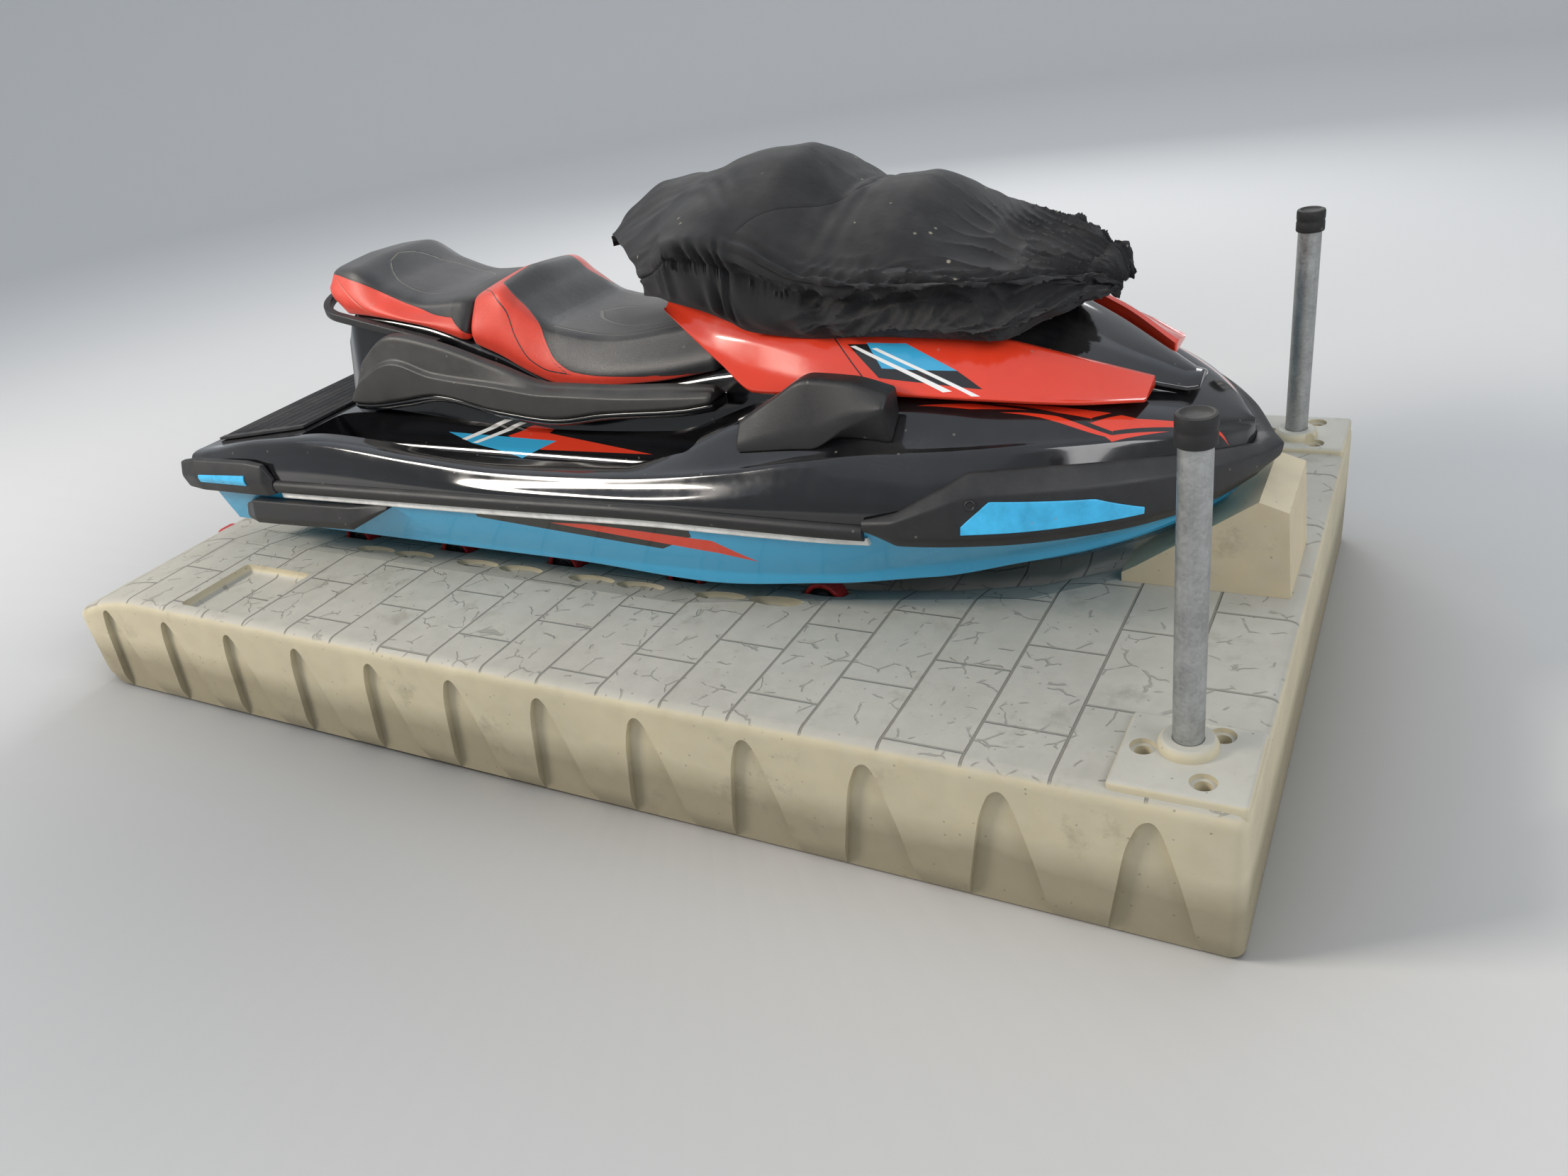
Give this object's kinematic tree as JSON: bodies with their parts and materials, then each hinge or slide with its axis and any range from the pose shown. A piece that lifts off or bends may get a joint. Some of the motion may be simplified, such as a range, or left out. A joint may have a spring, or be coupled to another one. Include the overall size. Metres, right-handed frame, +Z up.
{
  "type": "personal watercraft",
  "caption": "Seated personal watercraft with a cloth cover over its handlebar, parked on a floating drive-on port with rollers, a bow stop and mooring piles.",
  "frame": {"origin": "middle of the float's flat underside", "axes": "+X to the craft's bow, +Y to its left side, +Z up"},
  "size_m": [3.7, 1.88, 1.43],
  "materials": {
    "hull_blue": "gloss sky blue gelcoat",
    "gloss_black": "gloss black gelcoat",
    "orange_red": "gloss orange-red",
    "matte_black": "matte moulded",
    "charcoal": "grained moulded",
    "vinyl": "grained vinyl",
    "mat_rubber": "ribbed foam mat",
    "float_grey": "weathered moulded polyethylene",
    "stop_cream": "weathered moulded polyethylene",
    "roller_red": "red rim on a black hub",
    "galvanized": "galvanized",
    "cap_rubber": "black rubber",
    "cloth": "woven polyester",
    "cast_alloy": "cast",
    "steel": "brushed",
    "engine": "painted"
  },
  "bodies": {
    "craft_on_port": {"bow_bumper": "matte_black", "bow_stop": "stop_cream", "bumper_insert_left": "hull_blue", "bumper_insert_right": "hull_blue", "dash_console": "matte_black", "deck": "gloss_black", "engine_block": "engine", "fairing_left": "orange_red", "fairing_right": "orange_red", "foot_mat_left": "mat_rubber", "foot_mat_right": "mat_rubber", "footwell_guard_left": "matte_black", "footwell_guard_right": "matte_black", "front_seat": "vinyl", "grab_rail": "matte_black", "hull": "hull_blue", "intake_grate": "cast_alloy", "mirror_left": "matte_black", "mirror_right": "matte_black", "pile_cap_left": "cap_rubber", "pile_cap_right": "cap_rubber", "pile_left": "galvanized", "pile_pad_left": "float_grey", "pile_pad_right": "float_grey", "pile_right": "galvanized", "port_float": "float_grey", "pump_housing": "cast_alloy", "rear_seat": "vinyl", "ride_plate": "cast_alloy", "rub_rail_left": "matte_black", "rub_rail_right": "matte_black", "side_cover_left": "charcoal", "side_cover_right": "charcoal", "sponson_left": "matte_black", "sponson_right": "matte_black", "stern_cap_left": "matte_black", "stern_cap_right": "matte_black", "stern_mat": "mat_rubber"},
    "hood": {"hood": "gloss_black", "cover": "cloth"},
    "steering": {"steering_column": "matte_black", "handlebar": "steel"},
    "nozzle": {"steering_nozzle": "cast_alloy"},
    "bucket": {"reverse_bucket": "cast_alloy"},
    "impeller": {"impeller": "steel"},
    "roller_left_1": {"roller_left_1": "roller_red"},
    "roller_left_2": {"roller_left_2": "roller_red"},
    "roller_left_3": {"roller_left_3": "roller_red"},
    "roller_left_4": {"roller_left_4": "roller_red"},
    "roller_left_5": {"roller_left_5": "roller_red"},
    "roller_left_6": {"roller_left_6": "roller_red"},
    "roller_right_1": {"roller_right_1": "roller_red"},
    "roller_right_2": {"roller_right_2": "roller_red"},
    "roller_right_3": {"roller_right_3": "roller_red"},
    "roller_right_4": {"roller_right_4": "roller_red"},
    "roller_right_5": {"roller_right_5": "roller_red"},
    "roller_right_6": {"roller_right_6": "roller_red"}
  },
  "joints": [
    {"name": "hood_hinge", "type": "hinge", "parent": "craft_on_port", "child": "hood", "pos_m": [1.575, 0, 0.868], "axis": [0, 1, 0], "range_deg": [0, 50], "deforming": ["cover"]},
    {"name": "steering_turn", "type": "hinge", "parent": "craft_on_port", "child": "steering", "pos_m": [0.6, 0, 1.12], "axis": [-0.4695, 0, 0.8829], "range_deg": [-20, 20]},
    {"name": "nozzle_swing", "type": "hinge", "parent": "craft_on_port", "child": "nozzle", "pos_m": [-1.395, 0, 0.4], "axis": [0, 0, 1], "range_deg": [-20, 20]},
    {"name": "bucket_drop", "type": "hinge", "parent": "craft_on_port", "child": "bucket", "pos_m": [-1.405, 0, 0.4], "axis": [0, -1, 0], "range_deg": [0, 60]},
    {"name": "impeller_spin", "type": "hinge", "parent": "craft_on_port", "child": "impeller", "pos_m": [-1.2, 0, 0.4], "axis": [1, 0, 0], "continuous": true},
    {"name": "roller_left_1_spin", "type": "hinge", "parent": "craft_on_port", "child": "roller_left_1", "pos_m": [0.695, 0.33, 0.33804], "axis": [0, 1, 0], "continuous": true},
    {"name": "roller_left_2_spin", "type": "hinge", "parent": "craft_on_port", "child": "roller_left_2", "pos_m": [0.258, 0.33, 0.33804], "axis": [0, 1, 0], "continuous": true},
    {"name": "roller_left_3_spin", "type": "hinge", "parent": "craft_on_port", "child": "roller_left_3", "pos_m": [-0.179, 0.33, 0.33804], "axis": [0, 1, 0], "continuous": true},
    {"name": "roller_left_4_spin", "type": "hinge", "parent": "craft_on_port", "child": "roller_left_4", "pos_m": [-0.616, 0.33, 0.33804], "axis": [0, 1, 0], "continuous": true},
    {"name": "roller_left_5_spin", "type": "hinge", "parent": "craft_on_port", "child": "roller_left_5", "pos_m": [-1.053, 0.33, 0.33804], "axis": [0, 1, 0], "continuous": true},
    {"name": "roller_left_6_spin", "type": "hinge", "parent": "craft_on_port", "child": "roller_left_6", "pos_m": [-1.775, 0.33, 0.25304], "axis": [0, 1, 0], "continuous": true},
    {"name": "roller_right_1_spin", "type": "hinge", "parent": "craft_on_port", "child": "roller_right_1", "pos_m": [0.695, -0.33, 0.33804], "axis": [0, 1, 0], "continuous": true},
    {"name": "roller_right_2_spin", "type": "hinge", "parent": "craft_on_port", "child": "roller_right_2", "pos_m": [0.258, -0.33, 0.33804], "axis": [0, 1, 0], "continuous": true},
    {"name": "roller_right_3_spin", "type": "hinge", "parent": "craft_on_port", "child": "roller_right_3", "pos_m": [-0.179, -0.33, 0.33804], "axis": [0, 1, 0], "continuous": true},
    {"name": "roller_right_4_spin", "type": "hinge", "parent": "craft_on_port", "child": "roller_right_4", "pos_m": [-0.616, -0.33, 0.33804], "axis": [0, 1, 0], "continuous": true},
    {"name": "roller_right_5_spin", "type": "hinge", "parent": "craft_on_port", "child": "roller_right_5", "pos_m": [-1.053, -0.33, 0.33804], "axis": [0, 1, 0], "continuous": true},
    {"name": "roller_right_6_spin", "type": "hinge", "parent": "craft_on_port", "child": "roller_right_6", "pos_m": [-1.775, -0.33, 0.25304], "axis": [0, 1, 0], "continuous": true}
  ],
  "couplings": [
    {"joint": "nozzle_swing", "follows": "steering_turn", "ratio": -1}
  ]
}
